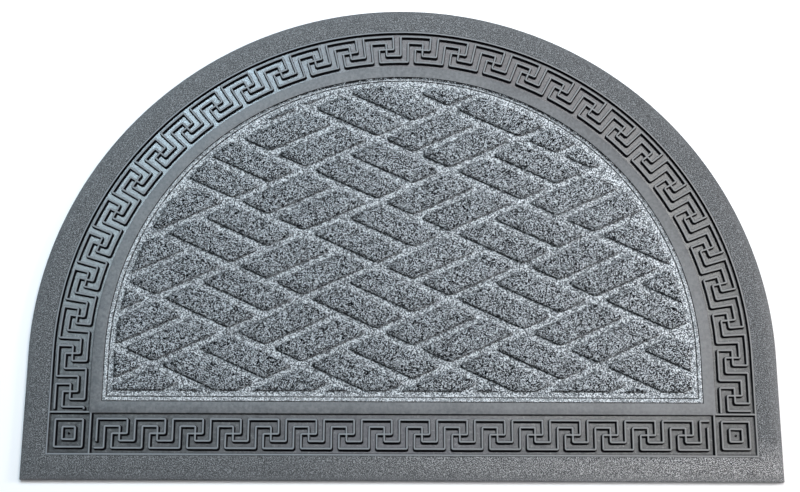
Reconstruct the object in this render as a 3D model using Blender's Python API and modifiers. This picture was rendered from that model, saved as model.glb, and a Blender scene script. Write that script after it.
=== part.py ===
"""A half-round doormat: a moulded rubber mat, and a needle-felt insert that lies in its recess.

Metres, +Z up. The origin is on the floor under the middle of the mat. +X runs along the straight
front edge, and +Y points from that edge towards the top of the arc.
"""

import math

import bmesh
import bpy
from mathutils import Matrix

# The outline: a half circle on a straight-sided skirt, with two square front corners.
WIDTH = 0.600
DEPTH = 0.400
RADIUS = WIDTH / 2
ARC_Y = DEPTH / 2 - RADIUS
FRONT_Y = -DEPTH / 2
ARC_STEPS = 72

# Heights above the floor.
EDGE_TOP = 0.0045
BORDER_TOP = 0.0056
BAND_FLOOR = 0.0036
RIDGE_TOP = 0.0059
RING_TOP = 0.0060
BACKING_TOP = 0.0020
FELT_TOP = 0.0058
PILLOW_TOP = 0.0078
GAP = 0.0003
BURIED = 0.0008

# Widths of the rubber's zones, measured in from the outer edge.
EDGE_CHAMFER = 0.0006
BORDER = 0.0200
BEAD_WIDTH = 0.0018
RIDGE_WIDTH = 0.0018
RIDGE_CHAMFER = 0.00035
RING_INSET = 0.0512
RING_FRONT_INSET = 0.0522
RECESS_INSET = 0.0609
RECESS_FRONT_INSET = 0.0620

# The meander: one unit is five cells long and four cells high, centred on its crossing.
UNIT_CELLS = 5
ARC_BAND_RADIUS = 0.2645
ARC_CELL_UP = 0.0058
ARC_UNITS = 30
ARC_START_Y = 0.0695
ARC_END_Y = 0.0682
ARC_END_CELLS = 2.2
FRONT_BAND_Y = 0.0363
FRONT_CELL_UP = 0.00575
FRONT_UNITS = 16
FRONT_HALF_RUN = 0.2232
FRONT_END_CELLS = 3.16

# The squares in the two front corners.
CORNER_X = 0.2637
CORNER_Y = 0.0364
CORNER_RING_SIDES = (0.0218, 0.0100)
CORNER_DOT_RADIUS = 0.0009
DIVIDER_X = 0.2470
DIVIDER_TOP_Y = 0.0531

# The felt's basket weave: blocks of two raised bars, drawn square and pressed flat in Y.
WEAVE_X = 0.1188
WEAVE_Y = 0.0548
WEAVE_CENTRE = (-0.0220, 0.0009)
BAR_WIDTH = 0.0349
BAR_LENGTH = 0.0769
BAR_POINTED_ROUND = 0.0062
BAR_BLUNT_ROUND = 0.0040
BAR_SHOULDERS = ((0.0006, 0.0012), (0.0016, 0.0008))
BAR_LEAST_SHOWN = 1 / 8
PILLOW_INSET = 0.0078
FELT_EDGE_CHAMFER = 0.0006

# Limits for tidying a mesh: points this close are one, and faces this level are one face.
WELD = 0.00001
LEVEL = math.radians(0.1)
SHARP = math.radians(60)


def make_collection(name):
    collection = bpy.data.collections.new(name)
    bpy.context.scene.collection.children.link(collection)
    return collection


def make_material(name, colour, roughness):
    material = bpy.data.materials.new(name)
    material.use_nodes = True
    shader = material.node_tree.nodes["Principled BSDF"]
    shader.inputs["Base Color"].default_value = (*colour, 1.0)
    shader.inputs["Roughness"].default_value = roughness
    shader.inputs["Metallic"].default_value = 0.0
    material.diffuse_color = (*colour, 1.0)
    return material


def make_object(name, mesh, collection):
    piece = bpy.data.objects.new(name, mesh)
    collection.objects.link(piece)
    return piece


def make_tool(name, mesh, collection):
    """An object that only shapes another one: it isn't rendered and shows as wire."""
    tool = make_object(name, mesh, collection)
    tool.hide_render = True
    tool.display_type = "WIRE"
    return tool


def combine(piece, tool, operation):
    boolean = piece.modifiers.new(f"{operation.lower()} {tool.name}", "BOOLEAN")
    boolean.operation = operation
    boolean.solver = "EXACT"
    boolean.object = tool


def evaluated_mesh(piece):
    """The piece's mesh with its modifiers done, welded, after which the piece itself is removed."""
    bpy.context.view_layer.update()
    depsgraph = bpy.context.evaluated_depsgraph_get()
    mesh = bpy.data.meshes.new_from_object(piece.evaluated_get(depsgraph))
    mesh.transform(piece.matrix_world)
    bpy.data.objects.remove(piece)
    bm = bmesh.new()
    bm.from_mesh(mesh)
    bmesh.ops.remove_doubles(bm, verts=bm.verts, dist=WELD)
    bmesh.ops.dissolve_limit(bm, angle_limit=LEVEL, verts=bm.verts, edges=bm.edges)
    bmesh.ops.recalc_face_normals(bm, faces=bm.faces)
    bm.to_mesh(mesh)
    bm.free()
    return mesh


def half_round(inset, front_inset):
    """The mat's outline drawn in by an inset, counter-clockwise from the right front corner."""
    radius = RADIUS - inset
    front = FRONT_Y + front_inset
    outline = [(radius, front)]
    for step in range(ARC_STEPS + 1):
        angle = math.pi * step / ARC_STEPS
        outline.append((radius * math.cos(angle), ARC_Y + radius * math.sin(angle)))
    outline.append((-radius, front))
    return outline


def plate(name, outline, low, high, collection):
    """The mesh of a flat plate between two heights: a filled 2D curve, extruded."""
    curve = bpy.data.curves.new(name, "CURVE")
    curve.dimensions = "2D"
    curve.fill_mode = "BOTH"
    curve.extrude = (high - low) / 2
    spline = curve.splines.new("POLY")
    spline.points.add(len(outline) - 1)
    for point, (x, y) in zip(spline.points, outline):
        point.co = (x, y, 0, 1)
    spline.use_cyclic_u = True
    drawn = make_object(name, curve, collection)
    drawn.location.z = (low + high) / 2
    return evaluated_mesh(drawn)


def step_top(mesh, steps):
    """Draw the top face in and lift it, once for each (width, rise) step."""
    bm = bmesh.new()
    bm.from_mesh(mesh)
    top = max(bm.faces, key=lambda face: face.calc_center_median().z)
    for width, rise in steps:
        bmesh.ops.inset_region(bm, faces=[top], thickness=width, depth=rise, use_even_offset=True)
    bm.to_mesh(mesh)
    bm.free()


def ridge(name, path, closed, collection):
    """A raised line along a path: an upright ribbon, thickened, with its top edges chamfered."""
    low = BAND_FLOOR - BURIED
    bm = bmesh.new()
    verts = [bm.verts.new((x, y, low)) for x, y in path]
    edges = [bm.edges.new(pair) for pair in zip(verts, verts[1:])]
    if closed:
        edges.append(bm.edges.new((verts[-1], verts[0])))
    raised = bmesh.ops.extrude_edge_only(bm, edges=edges)["geom"]
    top_verts = [part for part in raised if isinstance(part, bmesh.types.BMVert)]
    bmesh.ops.translate(bm, verts=top_verts, vec=(0, 0, RIDGE_TOP - low))
    ribbon = bpy.data.meshes.new(name)
    bm.to_mesh(ribbon)
    bm.free()
    wall = make_object(name, ribbon, collection)
    solidify = wall.modifiers.new("ridge width", "SOLIDIFY")
    solidify.thickness = RIDGE_WIDTH
    solidify.offset = 0
    solidify.use_even_offset = True
    mesh = evaluated_mesh(wall)

    bm = bmesh.new()
    bm.from_mesh(mesh)
    rim = [edge for edge in bm.edges
           if edge.calc_face_angle() > SHARP and all(vert.co.z > BAND_FLOOR for vert in edge.verts)]
    bmesh.ops.bevel(bm, geom=rim, offset=RIDGE_CHAMFER, segments=1, affect="EDGES")
    bm.to_mesh(mesh)
    bm.free()
    return make_tool(name, mesh, collection)


def meander_lines(units, end_cells):
    """The meander's two interleaved lines in cells, (along, up), cut off past the end crossings.

    In each unit one line runs over the top, down through the crossing and along the bottom, and
    the other hooks through the crossing inside it. In the next unit they change places.
    """
    outer = ((-3, 2), (1, 2), (1, 0), (-1, 0), (-1, -2), (3, -2))
    inner = ((-2, 1), (0, 1), (0, -1), (2, -1))
    first = -end_cells
    last = UNIT_CELLS * (units - 1) + end_cells
    lines = []
    for start in (0, 1):
        points = []
        for unit in range(-1, units + 1):
            part = outer if (unit + start) % 2 else inner
            points += [(along + UNIT_CELLS * unit, up) for along, up in part]
        lines.append(cut_to_range(points, first, last))
    return lines


def cut_to_range(points, first, last):
    """The stretch of a line whose first coordinate lies between two values.

    An end piece shorter than half a ridge's width is dropped, because the corner hides it.
    """
    shortest = RIDGE_WIDTH / 2 / ARC_CELL_UP
    kept = []
    for start, end in zip(points, points[1:]):
        if not (first <= start[0] <= last or first <= end[0] <= last):
            continue
        for along, up in (start, end):
            point = (min(max(along, first), last), up)
            if not kept or math.dist(kept[-1], point) > shortest:
                kept.append(point)
    return kept


def front_point(along, up):
    """A place on the straight band: cells from its first crossing, and cells above its middle."""
    cell = 2 * FRONT_HALF_RUN / (UNIT_CELLS * (FRONT_UNITS - 1))
    return along * cell - FRONT_HALF_RUN, FRONT_Y + FRONT_BAND_Y + up * FRONT_CELL_UP


def arc_point(along, up):
    """A place on the curved band: up the left skirt, round the arc and down the right skirt."""
    left_skirt = ARC_Y - (FRONT_Y + ARC_START_Y)
    right_skirt = ARC_Y - (FRONT_Y + ARC_END_Y)
    run = left_skirt + math.pi * ARC_BAND_RADIUS + right_skirt
    cell = run / (UNIT_CELLS * (ARC_UNITS - 1))
    travelled = along * cell - left_skirt
    radius = ARC_BAND_RADIUS + up * ARC_CELL_UP
    angle = min(max(travelled / ARC_BAND_RADIUS, 0), math.pi)
    beyond = travelled - angle * ARC_BAND_RADIUS
    below = beyond if angle == 0 else -beyond
    return -radius * math.cos(angle), ARC_Y + radius * math.sin(angle) + below


def square_path(centre_x, centre_y, side):
    half = side / 2
    return [
        (centre_x + sign_x * half, centre_y + sign_y * half)
        for sign_x, sign_y in ((-1, -1), (1, -1), (1, 1), (-1, 1))
    ]


def corner_ridges(side, collection):
    """One front corner: its dividing bead, two square rings and a dot. side is -1 or 1."""
    label = "left" if side < 0 else "right"
    front = FRONT_Y + BORDER
    divider = [
        (side * (RADIUS - BORDER), FRONT_Y + DIVIDER_TOP_Y),
        (side * DIVIDER_X, FRONT_Y + DIVIDER_TOP_Y),
        (side * DIVIDER_X, front),
    ]
    pieces = [ridge(f"{label} corner divider", divider, False, collection)]
    for number, length in enumerate(CORNER_RING_SIDES, start=1):
        path = square_path(side * CORNER_X, FRONT_Y + CORNER_Y, length)
        pieces.append(ridge(f"{label} corner ring {number}", path, True, collection))
    height = RIDGE_TOP - BAND_FLOOR + BURIED
    dot_place = (side * CORNER_X, FRONT_Y + CORNER_Y, RIDGE_TOP - height / 2)
    bm = bmesh.new()
    bmesh.ops.create_cone(
        bm, cap_ends=True, segments=12, radius1=CORNER_DOT_RADIUS, radius2=CORNER_DOT_RADIUS,
        depth=height, matrix=Matrix.Translation(dot_place))
    dot = bpy.data.meshes.new(f"{label} corner dot")
    bm.to_mesh(dot)
    bm.free()
    pieces.append(make_tool(f"{label} corner dot", dot, collection))
    return pieces


def make_rubber(model, tools):
    """The rubber mat: a border that rises to a bead, the ornament band, a flat ring, the recess."""
    mesh = plate("rubber blank", half_round(0, 0), 0, EDGE_TOP - EDGE_CHAMFER, tools)
    side = RIDGE_CHAMFER
    step_top(mesh, (
        (EDGE_CHAMFER, EDGE_CHAMFER),
        (BORDER - BEAD_WIDTH / 2 - EDGE_CHAMFER, BORDER_TOP - EDGE_TOP),
        (side, RIDGE_TOP - BORDER_TOP),
        (BEAD_WIDTH - 2 * side, 0),
        (side, BAND_FLOOR - RIDGE_TOP),
    ))
    rubber = make_object("rubber_mat", mesh, model)

    ring = plate("ring blank", half_round(RING_INSET, RING_FRONT_INSET),
                 BAND_FLOOR - BURIED, RING_TOP, tools)
    raised = [make_tool("flat ring", ring, tools)]
    for number, line in enumerate(meander_lines(ARC_UNITS, ARC_END_CELLS), start=1):
        path = [arc_point(*cells) for cells in line]
        raised.append(ridge(f"arc meander {number}", path, False, tools))
    for number, line in enumerate(meander_lines(FRONT_UNITS, FRONT_END_CELLS), start=1):
        path = [front_point(*cells) for cells in line]
        raised.append(ridge(f"front meander {number}", path, False, tools))
    for corner in (-1, 1):
        raised += corner_ridges(corner, tools)
    for tool in raised:
        combine(rubber, tool, "UNION")

    recess = plate("recess blank", half_round(RECESS_INSET, RECESS_FRONT_INSET),
                   BACKING_TOP, 2 * RING_TOP, tools)
    combine(rubber, make_tool("recess", recess, tools), "DIFFERENCE")
    return rubber


def bar_mesh(centre, slope_sign):
    """One raised bar: a slanting parallelogram with rounded corners and two sloping shoulders.

    slope_sign is 1 for a bar that climbs to the right, and -1 for one that falls to the right.
    """
    squash = WEAVE_Y / WEAVE_X
    low = FELT_TOP - BURIED
    bm = bmesh.new()
    corners = []
    for end, flank in ((-1, -1), (1, -1), (1, 1), (-1, 1)):
        along = end * BAR_LENGTH / 2
        across = flank * BAR_WIDTH / 2
        x = (along - across) / math.sqrt(2)
        y = (along + across) / math.sqrt(2) * squash * slope_sign
        corners.append(bm.verts.new((centre[0] + x, centre[1] + y, low)))
    bm.faces.new(corners)
    blunt = [corners[0], corners[2]]
    pointed = [corners[1], corners[3]]
    for group, offset in ((blunt, BAR_BLUNT_ROUND), (pointed, BAR_POINTED_ROUND)):
        bmesh.ops.bevel(bm, geom=group, offset=offset, segments=2, profile=0.5, affect="VERTICES")
    raised = bmesh.ops.extrude_face_region(bm, geom=bm.faces[:])["geom"]
    top_verts = [part for part in raised if isinstance(part, bmesh.types.BMVert)]
    bmesh.ops.translate(bm, verts=top_verts, vec=(0, 0, BURIED))
    bmesh.ops.recalc_face_normals(bm, faces=bm.faces)
    mesh = bpy.data.meshes.new("bar")
    bm.to_mesh(mesh)
    bm.free()
    step_top(mesh, BAR_SHOULDERS)
    return mesh


def bar_places():
    """The centre and slope of every bar: falling pairs on the weave's repeat, climbing between."""
    columns = math.ceil(WIDTH / 2 / WEAVE_X)
    rows = math.ceil(DEPTH / 2 / WEAVE_Y)
    places = []
    for column in range(-columns, columns + 1):
        for row in range(-rows, rows + 1):
            for slope_sign, shift in ((-1, 0), (1, 0.5)):
                block_x = WEAVE_CENTRE[0] + (column + shift) * WEAVE_X
                block_y = WEAVE_CENTRE[1] + (row + shift) * WEAVE_Y
                for half in (-1, 1):
                    x = block_x + half * WEAVE_X / 8
                    y = block_y - half * slope_sign * WEAVE_Y / 8
                    places.append(((x, y), slope_sign))
    return places


def inside_half_round(x, y, inset, front_inset):
    radius = RADIUS - inset
    if y < ARC_Y:
        return abs(x) < radius and y > FRONT_Y + front_inset
    return math.hypot(x, y - ARC_Y) < radius


def make_pillows(tools):
    """Every raised bar of the weave that shows, cut off along the felt's flat margin."""
    inset = RECESS_INSET + GAP + PILLOW_INSET
    front_inset = RECESS_FRONT_INSET + GAP + PILLOW_INSET
    all_bars = bmesh.new()
    for centre, slope_sign in bar_places():
        mesh = bar_mesh(centre, slope_sign)
        shown = [vert for vert in mesh.vertices
                 if inside_half_round(vert.co.x, vert.co.y, inset, front_inset)]
        if len(shown) >= BAR_LEAST_SHOWN * len(mesh.vertices):
            all_bars.from_mesh(mesh)
        bpy.data.meshes.remove(mesh)
    pillows_mesh = bpy.data.meshes.new("pillows")
    all_bars.to_mesh(pillows_mesh)
    all_bars.free()
    pillows = make_tool("pillows", pillows_mesh, tools)
    limit = plate("pillow limit blank", half_round(inset, front_inset), 0, 2 * PILLOW_TOP, tools)
    combine(pillows, make_tool("pillow limit", limit, tools), "INTERSECT")
    return pillows


def make_felt(model, tools):
    """The felt insert: a flat pad a hair smaller than the recess, with the bars raised on it."""
    outline = half_round(RECESS_INSET + GAP, RECESS_FRONT_INSET + GAP)
    chamfer = FELT_EDGE_CHAMFER
    mesh = plate("felt blank", outline, BACKING_TOP + GAP, FELT_TOP - chamfer, tools)
    step_top(mesh, ((chamfer, chamfer),))
    felt = make_object("felt_insert", mesh, model)
    combine(felt, make_pillows(tools), "UNION")
    return felt


def main():
    for old in list(bpy.data.objects):
        bpy.data.objects.remove(old)
    model = make_collection("half-round doormat")
    tools = make_collection("cutters")
    rubber = make_rubber(model, tools)
    felt = make_felt(model, tools)
    rubber.data.materials.append(make_material("rubber", (0.060, 0.064, 0.068), 0.50))
    felt.data.materials.append(make_material("felt", (0.130, 0.142, 0.150), 0.95))


main()
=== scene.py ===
import math

import bmesh
import bpy
import numpy as np
from mathutils import Matrix, Vector


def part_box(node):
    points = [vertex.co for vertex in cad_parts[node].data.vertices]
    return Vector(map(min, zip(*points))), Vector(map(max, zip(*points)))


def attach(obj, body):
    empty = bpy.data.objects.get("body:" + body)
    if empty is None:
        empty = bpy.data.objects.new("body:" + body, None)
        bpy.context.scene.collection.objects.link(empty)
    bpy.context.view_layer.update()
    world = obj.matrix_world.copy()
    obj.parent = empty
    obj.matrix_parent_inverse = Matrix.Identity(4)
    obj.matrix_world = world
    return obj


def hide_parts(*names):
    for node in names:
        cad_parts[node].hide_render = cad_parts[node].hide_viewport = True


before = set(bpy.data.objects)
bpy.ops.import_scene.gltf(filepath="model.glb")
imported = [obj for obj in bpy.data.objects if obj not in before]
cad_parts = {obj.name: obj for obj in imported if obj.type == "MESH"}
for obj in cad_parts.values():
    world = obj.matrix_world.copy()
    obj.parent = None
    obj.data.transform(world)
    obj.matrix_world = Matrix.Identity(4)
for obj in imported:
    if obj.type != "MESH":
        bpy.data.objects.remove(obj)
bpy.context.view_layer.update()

# The rubber mat is one moulding of dark slate rubber. A grained border rises a little from a blunt
# edge to a bead, then come a glossy sunk band with the meander on it, a satin ring, and a recess.
# The mould gives its ridges rounded crests and steep sides. Their sides and feet carry painted
# shade, a dull black, and their crests a painted highlight.
rubber_low, rubber_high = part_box("rubber_mat")
RADIUS = (rubber_high.x - rubber_low.x) / 2
FRONT_Y = rubber_low.y
ARC_Y = rubber_high.y - RADIUS
RING_TOP = rubber_high.z
BAND_FLOOR = 0.0036
RIDGE_TOP = RING_TOP - 0.0001
BACKING_TOP = 0.0020

SKIRT_STEPS = 36
ARC_STEPS = 260
FRONT_STEPS = 160

# The moulding's section: inset from the edge, height, and the radius that rounds the corner there.
SECTION = np.array((
    (0.0009, 0.0000, 0.0),
    (0.0000, 0.0000, 0.0004),
    (0.0000, 0.0045, 0.0007),
    (0.0100, 0.0054, 0.1500),
    (0.0186, 0.0056, 0.0),
    (0.0190, 0.0056, 0.0002),
    (0.0193, RIDGE_TOP, 0.0003),
    (0.0205, RIDGE_TOP, 0.0003),
    (0.0209, BAND_FLOOR, 0.0003),
    (0.0216, BAND_FLOOR, 0.0),
    (0.0219, BAND_FLOOR, 0.0),
    (0.0506, BAND_FLOOR, 0.0),
    (0.0511, BAND_FLOOR, 0.0003),
    (0.0515, RING_TOP, 0.0003),
    (0.0609, RING_TOP, 0.0004),
    (0.0609, BACKING_TOP, 0.0),
))
SECTION_ARC_STEPS = 5

# Along the front edge the ring and the recess lie further in by the extra.
RING_STARTS = 0.0400
RING_FRONT_EXTRA = 0.0010

# Where the section has its finishes, as insets from the edge: the grain, the bead's crest with its
# painted highlight, the glossy band, and the painted shade, a dull black, on the walls and the
# bead's feet.
GRAIN_END = 0.0192
GRAIN_FADE = 0.0004
GRAIN_FULL = 0.0100
GRAIN_AT_EDGE = 0.45
BEAD_CREST = (0.0193, 0.0205)
BAND = (0.0206, 0.0513)
BEAD_SIDE = (0.0204, 0.0217)
BEAD_FEET = ((0.0188, 0.0192), (0.0206, 0.0213))
BEAD_FEET_SHADE = 0.6
RING_SIDE = (0.0507, 0.0514)
RECESS_SIDE = 0.0608

# The meander: one unit is five cells long and four cells high, centred on its crossing. A line
# ends a number of cells past its outermost crossings.
UNIT_CELLS = 5
MEANDER_OUTER = ((-3, 2), (1, 2), (1, 0), (-1, 0), (-1, -2), (3, -2))
MEANDER_INNER = ((-2, 1), (0, 1), (0, -1), (2, -1))
MEANDER_STUB = 0.2
ARC_BAND_RADIUS = 0.2645
ARC_CELL_UP = 0.0058
ARC_UNITS = 30
ARC_START_Y = 0.0695
ARC_END_Y = 0.0682
ARC_END_CELLS = 2.2
FRONT_BAND_Y = 0.0363
FRONT_CELL_UP = 0.00575
FRONT_UNITS = 16
FRONT_HALF_RUN = 0.2237
FRONT_END_CELLS = 3.16

# Half a ridge's section: distance from its middle line, height as a share of its own, how much of
# the painted shade, a dull black, it has on the flank, and how much of the crest's painted
# highlight.
HALF_RIDGE = np.array((
    (0.00124, -0.25, 0.1, 0.0),
    (0.00122, 0.00, 0.1, 0.0),
    (0.00106, 0.08, 1.0, 0.0),
    (0.00078, 0.88, 1.0, 0.0),
    (0.00064, 0.97, 0.1, 0.9),
    (0.00034, 1.00, 0.0, 1.0),
))
RIDGE_SECTION = np.concatenate([
    HALF_RIDGE * (-1, 1, 1, 1), ((0.0, 1.0, 0.0, 1.0),), HALF_RIDGE[::-1]])
RIDGE_FOOT = 0.00120

# A foot that faces a place in front of the mat runs out by the smear times the cosine between the
# two directions, and carries painted shade there, a dull black, by another multiple of that
# cosine.
SMEAR = 0.00110
SMEAR_FROM = (0.0, -0.34)
SMEAR_SHADE = 1.6

# A ridge's bends, its longest stretch and its ends. Of two ridges that cross, one lies lower by
# the drop, so that their tops don't coincide.
RIDGE_BEND = 0.00090
RIDGE_BEND_STEPS = 5
RIDGE_STRETCH = 0.0060
RIDGE_CAP_STEPS = 5
CROSSING_DROP = 0.00003

# The corner squares' middle and sides, and the dividers, which start on the bead's middle line.
# Each y is counted from the front edge.
CORNER_X = 0.2637
CORNER_Y = 0.0364
CORNER_RING_SIDES = (0.0218, 0.0100)
DIVIDER_X = 0.2470
DIVIDER_TOP_Y = 0.0531
BEAD_MIDDLE = 0.0198

# The pip's section: distance from its middle, and height as a share of a ridge's.
PIP_SECTION = np.array(((0.00095, -0.25), (0.00095, 0.0), (0.00070, 0.6), (0.00035, 0.8)))
PIP_SIDES = 16

# Points nearer to each other than the weld are merged, and a length that something is divided by
# is held at the least one or more.
WELD = 0.000002
LEAST_LENGTH = 1e-9
RUBBER_SHARP_DEGREES = 50


def rounded_line(points, radii, steps):
    """A line whose inner corners are turned into arcs of the given radii.

    Each arc starts radius * tan(turn / 2) before its corner and ends as far after it. Between them
    it is the rational blend of start, corner and end with the weight cos(turn / 2) on the corner.
    """
    points = np.asarray(points, float)
    corner = points[1:-1]
    back = points[:-2] - corner
    on = points[2:] - corner
    back /= np.linalg.norm(back, axis=1, keepdims=True)
    on /= np.linalg.norm(on, axis=1, keepdims=True)
    turn = np.arccos(np.clip(-(back * on).sum(axis=1), -1, 1))
    reach = (np.asarray(radii) * np.tan(turn / 2))[:, None, None]
    weight = np.cos(turn / 2)[:, None, None]
    t = np.linspace(0, 1, steps)[None, :, None]
    start = corner[:, None, :] + back[:, None, :] * reach
    end = corner[:, None, :] + on[:, None, :] * reach
    pull = 2 * weight * t * (1 - t)
    arcs = (1 - t) ** 2 * start + pull * corner[:, None, :] + t ** 2 * end
    arcs /= (1 - t) ** 2 + pull + t ** 2
    return np.concatenate([points[:1], arcs.reshape(-1, 2), points[-1:]])


def refined_line(points, longest):
    """The same line with points added, evenly within each stretch, so that none is too long."""
    stretch = np.diff(points, axis=0)
    parts = np.maximum(1, np.ceil(np.linalg.norm(stretch, axis=1) / longest)).astype(int)
    which = np.repeat(np.arange(len(parts)), parts)
    share = (np.arange(parts.sum()) - np.repeat(np.cumsum(parts) - parts, parts)) / parts[which]
    return np.concatenate([points[which] + stretch[which] * share[:, None], points[-1:]])


def half_round_rings(insets, front_insets):
    """The mat's outline drawn in once for each inset, as an array of rings of (x, y).

    Counter-clockwise from the right front corner: up the right skirt, round the arc, down the left
    skirt, and back along the front. A place has the same index in every ring.
    """
    radius = (RADIUS - insets)[:, None]
    front = (FRONT_Y + front_insets)[:, None]
    up = np.linspace(0, 1, SKIRT_STEPS + 1)
    angle = np.linspace(0, math.pi, ARC_STEPS + 1)
    across = np.linspace(-1, 1, FRONT_STEPS + 1)[1:-1]
    skirt_y = front + (ARC_Y - front) * up
    skirt_x = radius + 0 * up
    x = [skirt_x[:, :-1], radius * np.cos(angle), -skirt_x[:, 1:], radius * across]
    y = [skirt_y[:, :-1], ARC_Y + radius * np.sin(angle), skirt_y[:, -2::-1], front + 0 * across]
    return np.stack([np.concatenate(x, axis=1), np.concatenate(y, axis=1)], axis=-1)


def grid_faces(rows, columns, wrap_rows=False, wrap_columns=False):
    """The quads of a grid whose point (row, column) is number row * columns + column."""
    row = np.arange(rows if wrap_rows else rows - 1)[:, None]
    column = np.arange(columns if wrap_columns else columns - 1)[None, :]
    next_row = (row + 1) % rows
    next_column = (column + 1) % columns
    corners = (row * columns + column, row * columns + next_column,
               next_row * columns + next_column, next_row * columns + column)
    return np.stack(np.broadcast_arrays(*corners), axis=-1).reshape(-1, 4)


def make_piece(name, points, faces, attributes, sharp_degrees):
    """An object from arrays of points and faces, doubles merged and normals turned outward."""
    mesh = bpy.data.meshes.new(name)
    mesh.from_pydata(points.tolist(), [], faces)
    for label, values in attributes.items():
        layer = mesh.attributes.new(label, "FLOAT", "POINT")
        layer.data.foreach_set("value", values.astype(np.float32))
    bm = bmesh.new()
    bm.from_mesh(mesh)
    bmesh.ops.remove_doubles(bm, verts=bm.verts, dist=WELD)
    bmesh.ops.recalc_face_normals(bm, faces=bm.faces)
    bm.to_mesh(mesh)
    bm.free()
    mesh.shade_smooth()
    mesh.set_sharp_from_angle(angle=math.radians(sharp_degrees))
    piece = bpy.data.objects.new(name, mesh)
    bpy.context.scene.collection.objects.link(piece)
    return piece


class Parts:
    """Grids of points and their faces, gathered for one piece."""

    def __init__(self, labels):
        self.points = []
        self.faces = []
        self.values = {label: [] for label in labels}
        self.count = 0

    def add(self, points, faces, **values):
        """Take a grid's points, its faces numbered from 0, and a value at each point per label."""
        flat = points.reshape(-1, 3)
        self.points.append(flat)
        self.faces += [[self.count + corner for corner in face] for face in faces]
        for label, kept in self.values.items():
            kept.append(np.broadcast_to(values[label], points.shape[:-1]).ravel())
        self.count += len(flat)

    def piece(self, name, sharp_degrees):
        """The gathered grids as one object."""
        values = {label: np.concatenate(kept) for label, kept in self.values.items()}
        return make_piece(name, np.concatenate(self.points), self.faces, values, sharp_degrees)


def meander_lines(units, end_cells):
    """The meander's two interleaved lines in cells, (along, up), cut off past the end crossings.

    In each unit one line runs over the top, down through the crossing and along the bottom, and
    the other hooks through the crossing inside it. In the next unit they change places.
    """
    first = -end_cells
    last = UNIT_CELLS * (units - 1) + end_cells
    lines = []
    for start in (0, 1):
        parts = []
        for unit in range(-1, units + 1):
            part = MEANDER_OUTER if (unit + start) % 2 else MEANDER_INNER
            parts.append(np.array(part, float) + (UNIT_CELLS * unit, 0))
        line = np.concatenate(parts)
        inside = (line[:, 0] >= first) & (line[:, 0] <= last)
        near = inside | np.append(inside[1:], False) | np.insert(inside[:-1], 0, False)
        line = line[near]
        line[:, 0] = line[:, 0].clip(first, last)
        # A point too near the one before it is left out, but at the start the first of the two is.
        keep = np.insert(np.linalg.norm(np.diff(line, axis=0), axis=1) > MEANDER_STUB, 0, True)
        keep[:2] = keep[1], True
        lines.append(line[keep])
    return lines


def front_place(band):
    """(x, y) of places on the straight band, given as metres along it and up from its middle."""
    x = band[..., 0] - FRONT_HALF_RUN
    y = FRONT_Y + FRONT_BAND_Y + band[..., 1]
    return np.stack([x, y], axis=-1)


def arc_run():
    """Metres along the curved band's middle: the left skirt, the half circle, the right skirt."""
    left = ARC_Y - (FRONT_Y + ARC_START_Y)
    right = ARC_Y - (FRONT_Y + ARC_END_Y)
    return left, left + math.pi * ARC_BAND_RADIUS + right


def arc_place(band):
    """(x, y) of places on the curved band, given as metres along its middle and out from it.

    The angle round the arc is the way gone past the left skirt over the band's radius, held
    between a level line on the left and one on the right. What is left of the way runs straight
    down the skirt.
    """
    gone = band[..., 0] - arc_run()[0]
    radius = ARC_BAND_RADIUS + band[..., 1]
    angle = (gone / ARC_BAND_RADIUS).clip(0, math.pi)
    below = np.where(gone < 0, gone, angle * ARC_BAND_RADIUS - gone)
    return np.stack([-radius * np.cos(angle), ARC_Y + radius * np.sin(angle) + below], axis=-1)


def plain_place(band):
    """(x, y) of places that are given as (x, y)."""
    return band


def towards_front(point):
    """The directions from points (x, y) to a place in front of the middle of the front edge."""
    forward = SMEAR_FROM - point
    return forward / np.linalg.norm(forward, axis=-1, keepdims=True)


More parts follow.
